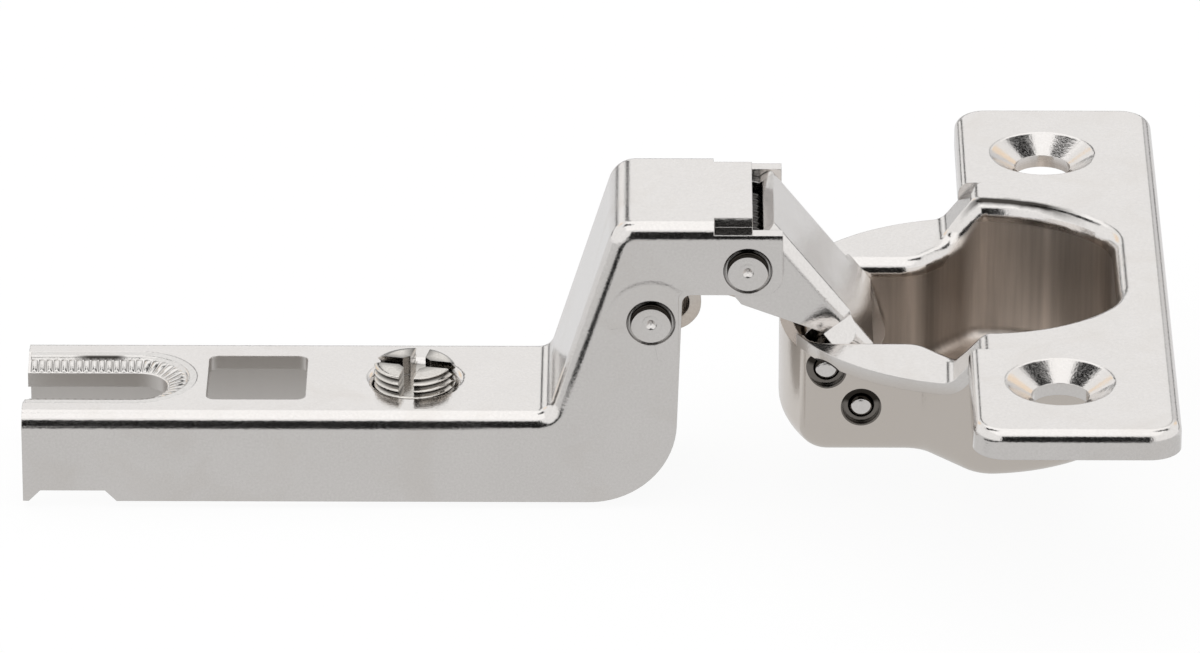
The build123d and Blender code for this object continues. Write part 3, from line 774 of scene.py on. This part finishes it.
def wallShade(tree):
    # painted shade in soft upright bands in the cup's wall: darker by the neck and to the right, with one
    # thin painted highlight
    x = whereIn(tree)[0][0]
    fromNeck = maths(tree, "ABSOLUTE", maths(tree, "SUBTRACT", x, wallLook["neckX"]))
    neck = remap(tree, fromNeck, *wallLook["neckReach"], wallLook["neckShade"], 1.0)
    right = remap(tree, x, *wallLook["rightFade"], 1.0, wallLook["rightShade"])
    fromLine = maths(tree, "ABSOLUTE", maths(tree, "SUBTRACT", x, wallLook["lineX"]))
    line = remap(tree, fromLine, *wallLook["lineReach"], wallLook["lineLight"], 1.0)
    return maths(tree, "MULTIPLY", neck, maths(tree, "MULTIPLY", right, line))


insideOf = {"arm": armInsideShade, "cup": cupInsideShade}


def makeFinish(name, look):
    material = bpy.data.materials.new(name + "_finish")
    material.use_nodes = True
    tree = material.node_tree
    tree.nodes.clear()
    grainIn = {"Scale": look["grain"], "Smoothest": look["smoothest"], "Roughest": look["roughest"]}
    grain = useGroup(tree, grainGroup, grainIn)
    edges = useGroup(tree, edgeGroup, {"Radius": look["edgeR"] * mm})
    handled = useGroup(tree, handlingGroup, {})
    dulled = maths(tree, "MULTIPLY", handled.outputs["Mask"], look["dullness"])
    colour = blendColours(tree, grain.outputs["Tone"], look["shade"], look["light"])
    colour = blendColours(tree, dulled, colour, look["dull"])
    # edges a little lighter: partly wear, partly a painted highlight
    colour = blendColours(tree, edges.outputs["Mask"], colour, look["edge"])
    duller = maths(tree, "MULTIPLY", dulled, look["dullRoughness"])
    roughness = maths(tree, "ADD", grain.outputs["Roughness"], duller)
    # painted shade on the cup's drawn body
    if "outside" in look:
        colour = blendColours(tree, cupBodyShade(tree), colour, look["outside"])
    # painted shade inside the arm's channel and inside the cup, where the wall also gets bands of painted
    # shade and a painted highlight
    if name in insideOf:
        inside = insideOf[name](tree)
        streaked = tree.nodes.new("ShaderNodeVectorMath")
        streaked.operation = "SCALE"
        streaked.inputs[0].default_value = look["inside"][:3]
        scale = drawnStreaks(tree, *look["streaks"])
        if name == "cup":
            scale = maths(tree, "MULTIPLY", scale, wallShade(tree))
        tree.links.new(scale, streaked.inputs["Scale"])
        colour = blendColours(tree, inside, colour, streaked.outputs[0])
        insideRoughness = maths(tree, "MULTIPLY", inside, look["insideRoughness"])
        roughness = maths(tree, "MAXIMUM", roughness, insideRoughness)
    # painted dark reflection along the cup's far lip
    if name == "cup":
        colour = blendColours(tree, cupLipReflection(tree), colour, look["paintedShade"])
    # painted shade in grooves and slots, and a painted dark reflection along the teeth's far lip
    if "grooveFrom" in look:
        down = tree.nodes.new("ShaderNodeAttribute")
        down.attribute_name = "groove"
        deep = remap(tree, down.outputs["Fac"], look["grooveFrom"], 1.0, 0.0, look["grooveShade"])
        colour = blendColours(tree, deep, colour, look["paintedShade"])
    # painted shade in rings round the pivots
    for pivot, (inner, outer, below, lowered) in look.get("recessShades", {}).items():
        low, high = boxOf(pivot)
        middle = (low + high) / 2
        ringIn = {"X": middle[0], "Z": middle[2] - lowered, "Inner": inner, "Outer": outer, "Below": below}
        recess = useGroup(tree, recessGroup, ringIn)
        colour = blendColours(tree, recess.outputs["Mask"], colour, look["paintedShade"])
    # painted shade where surfaces come close, from ambient occlusion
    creviceShading = useGroup(tree, creviceGroup, {"Distance": look["creviceReach"] * mm})
    hidden = maths(tree, "MULTIPLY", creviceShading.outputs["Mask"], look["creviceShade"])
    colour = blendColours(tree, hidden, colour, look["paintedShade"])
    bumpIn = {"Height": grain.outputs["Height"], "Normal": edges.outputs["Normal"]}
    bumpIn |= {"Strength": look["bump"], "Distance": look["bumpDepth"] * mm}
    bump = put(tree, "ShaderNodeBump", bumpIn)
    surfaceIn = {"Base Color": colour, "Roughness": roughness, "Normal": bump.outputs[0], "Metallic": 1.0}
    surface = put(tree, "ShaderNodeBsdfPrincipled", surfaceIn)
    output = tree.nodes.new("ShaderNodeOutputMaterial")
    tree.links.new(surface.outputs[0], output.inputs["Surface"])
    return material


def wear(shown, material):
    shown.data.materials.clear()
    shown.data.materials.append(material)


materials = {name: makeFinish(name, look) for name, look in finishes.items()}
for node, shown in frame["nodes"].items():
    wear(shown, materials[node])
for node, piece in pieces.items():
    wear(piece, materials[node])
wear(details["teeth"], materials["slot_teeth"])
wear(details["pad"], materials["arm"])
print("finishes:", len(materials))


# ---- stage ----
stageLook = {
    "floorZ": -17.3,  # just under the lowest point of the closed hinge
    "floorReach": 6000,
    "floorColour": (0.92, 0.92, 0.92, 1),
    "floorGlow": 0.93,
    "ambient": 0.5,
    "cardHalf": 620.0,
    "cardLift": 0.2,  # above the floor
    "grey": (0.66, 0.66, 0.66),
    # x and y of the grey card's near edge, past which the floor is dark
    "greyEdge": [
        (-620, -1290),
        (-125, -1290),
        (-88, -42),
        (-45, -42),
        (-40, -150),
        (-3, -165),
        (8, -140),
        (44, -140),
        (80, -1290),
        (620, -1290),
    ],
    "dark": (0.015, 0.015, 0.015),
    "darkDistance": 1300.0,
    "behind": (0.79, 0.79, 0.795),
    "behindReach": 1000.0,
}
# cards that only reflections see: azimuths from the front and elevations, both in degrees, distance
# and colour
cardLook = {
    "darkFront": ((-18, 16), (-1, 44), 1300, (0.015, 0.015, 0.015)),
    "lineBehind": ((125, 235), (-0.5, 5), 1500, (0.16, 0.16, 0.16)),
    "stripLeft": ((193, 198), (8, 40), 1400, (0.12, 0.12, 0.12)),
    "stripRight": ((163, 167), (8, 40), 1400, (0.45, 0.45, 0.45)),
    "webBehind": ((150, 166), (5, 22), 1450, (0.74, 0.74, 0.75)),
    "slashLeft": ((224, 252), (48, 75), 900, (0.0, 0.0, 0.0)),
    "slashRight": ((108, 136), (48, 75), 900, (0.0, 0.0, 0.0)),
    "warmLeft": ((207, 218), (14, 30), 1200, (1.05, 0.88, 0.70)),
    "warmRight": ((142, 153), (14, 30), 1200, (1.05, 0.88, 0.70)),
}
brightLook = {"x": (-750, 690), "y": (-760, 1050), "z": 1090, "colour": (1.22, 1.22, 1.22)}
# lamps above the object: place and width of the square in millimetres, and power in watts
lampLook = {
    "overheadWide": ((-30, 60, 1100), 2400, 18.5),
    "overhead": ((-30, 60, 1090), 1100, 0.7),
}


def reflectedShare(tree):
    # 1 for the rays that see the white surroundings: camera, glossy and transmission
    path = tree.nodes.new("ShaderNodeLightPath")
    seen = maths(tree, "ADD", path.outputs["Is Camera Ray"], path.outputs["Is Glossy Ray"])
    node = put(tree, "ShaderNodeMath", {0: seen, 1: path.outputs["Is Transmission Ray"]})
    node.use_clamp = True
    return node.outputs[0]


def makeWorld(look):
    world = bpy.data.worlds.new("studio")
    scene.world = world
    world.use_nodes = True
    tree = world.node_tree
    tree.nodes.clear()
    strength = remap(tree, reflectedShare(tree), 0.0, 1.0, look["ambient"], 1.0)
    background = put(tree, "ShaderNodeBackground", {"Color": (1, 1, 1, 1), "Strength": strength})
    output = tree.nodes.new("ShaderNodeOutputWorld")
    tree.links.new(background.outputs[0], output.inputs["Surface"])


def sheetOf(name, corners):
    mesh = bpy.data.meshes.new(name)
    faces = [(index, index + 1, index + 3, index + 2) for index in range(0, len(corners) - 2, 2)]
    mesh.from_pydata((np.array(corners, float) * mm).tolist(), [], faces)
    sheet = bpy.data.objects.new(name, mesh)
    scene.collection.objects.link(sheet)
    return sheet


def makeFloor(look):
    # pale floor that keeps a soft shadow, and is not seen from below
    far = look["floorReach"]
    z = look["floorZ"]
    floor = sheetOf("floor", [(-far, -far, z), (far, -far, z), (-far, far, z), (far, far, z)])
    material = bpy.data.materials.new("paleFloor")
    material.use_nodes = True
    tree = material.node_tree
    tree.nodes.clear()
    plain = put(tree, "ShaderNodeBsdfDiffuse", {"Color": look["floorColour"]})
    glow = put(tree, "ShaderNodeEmission", {"Color": (1, 1, 1, 1), "Strength": 1.0})
    share = maths(tree, "MULTIPLY", reflectedShare(tree), look["floorGlow"])
    lit = put(tree, "ShaderNodeMixShader", {0: share, 1: plain.outputs[0], 2: glow.outputs[0]})
    clear = tree.nodes.new("ShaderNodeBsdfTransparent")
    below = tree.nodes.new("ShaderNodeNewGeometry").outputs["Backfacing"]
    surface = put(tree, "ShaderNodeMixShader", {0: below, 1: lit.outputs[0], 2: clear.outputs[0]})
    output = tree.nodes.new("ShaderNodeOutputMaterial")
    tree.links.new(surface.outputs[0], output.inputs["Surface"])
    wear(floor, material)


def patchCorners(azimuths, elevations, distance, steps=9):
    # pairs of corners along a patch of a sphere round the origin
    azimuth = np.radians(np.linspace(*azimuths, steps))[:, None]
    elevation = np.radians(np.array(elevations))[None, :]
    x = np.sin(azimuth) * np.cos(elevation)
    y = -np.cos(azimuth) * np.cos(elevation)
    z = np.broadcast_to(np.sin(elevation), x.shape)
    return (distance * np.stack([x, y, z], axis=-1)).reshape(-1, 3)


def makeCard(name, corners, colour):
    # a card that only reflections see
    card = sheetOf(name, corners)
    material = bpy.data.materials.new(name)
    material.use_nodes = True
    tree = material.node_tree
    tree.nodes.clear()
    glow = put(tree, "ShaderNodeEmission", {"Color": (*colour, 1), "Strength": 1.0})
    output = tree.nodes.new("ShaderNodeOutputMaterial")
    tree.links.new(glow.outputs[0], output.inputs["Surface"])
    wear(card, material)
    card.visible_camera = False
    card.visible_diffuse = False
    card.visible_shadow = False
    card.visible_transmission = False


def makeLamp(name, at, size, power):
    lamp = bpy.data.lights.new(name, "AREA")
    lamp.shape = "SQUARE"
    lamp.size = size * mm
    lamp.energy = power
    holder = bpy.data.objects.new(name, lamp)
    scene.collection.objects.link(holder)
    holder.location = Vector(at) * mm
    holder.rotation_mode = "QUATERNION"
    holder.rotation_quaternion = (-holder.location).to_track_quat("-Z", "Y")
    holder.visible_camera = False
    holder.visible_glossy = False  # the cards stand in for it in reflections


makeWorld(stageLook)
makeFloor(stageLook)
side = stageLook["cardHalf"]
cardZ = stageLook["floorZ"] + stageLook["cardLift"]
farY = -stageLook["darkDistance"]
nearEdge = stageLook["greyEdge"]
grey = [(x, y, cardZ) for x, edgeY in nearEdge for y in (edgeY, 0)]
makeCard("greyFloor", grey, stageLook["grey"])
dark = [(x, y, cardZ) for x, edgeY in nearEdge for y in (farY, edgeY)]
makeCard("darkFloor", dark, stageLook["dark"])
behind = [(x, y, cardZ) for x in (-side, side) for y in (0, stageLook["behindReach"])]
makeCard("floorBehind", behind, stageLook["behind"])
for name, (azimuths, elevations, distance, colour) in cardLook.items():
    makeCard(name, patchCorners(azimuths, elevations, distance), colour)
above = [(x, y, brightLook["z"]) for x in brightLook["x"] for y in brightLook["y"]]
makeCard("brightAbove", above, brightLook["colour"])
for name, (at, size, power) in lampLook.items():
    makeLamp(name, at, size, power)
print("stage: floor,", len(cardLook) + 4, "cards and", len(lampLook), "lamps")


# ---- camera ----
cameraLook = {
    "at": (-28.059, -827.333, 375.119),
    "target": (-33.012, 0, -3.5),
    "lens": 314.9,
    "sensor": 36,
    "clip": (0.01, 100),  # metres
}


def makeCamera(look):
    camera = bpy.data.cameras.new("camera")
    camera.lens = look["lens"]
    camera.sensor_width = look["sensor"]
    camera.clip_start, camera.clip_end = look["clip"]
    holder = bpy.data.objects.new("camera", camera)
    scene.collection.objects.link(holder)
    holder.location = Vector(look["at"]) * mm
    holder.rotation_mode = "QUATERNION"
    gaze = Vector(look["target"]) - Vector(look["at"])
    holder.rotation_quaternion = gaze.to_track_quat("-Z", "Y")
    scene.camera = holder


makeCamera(cameraLook)
scene.view_settings.view_transform = "Standard"
bpy.context.view_layer.update()
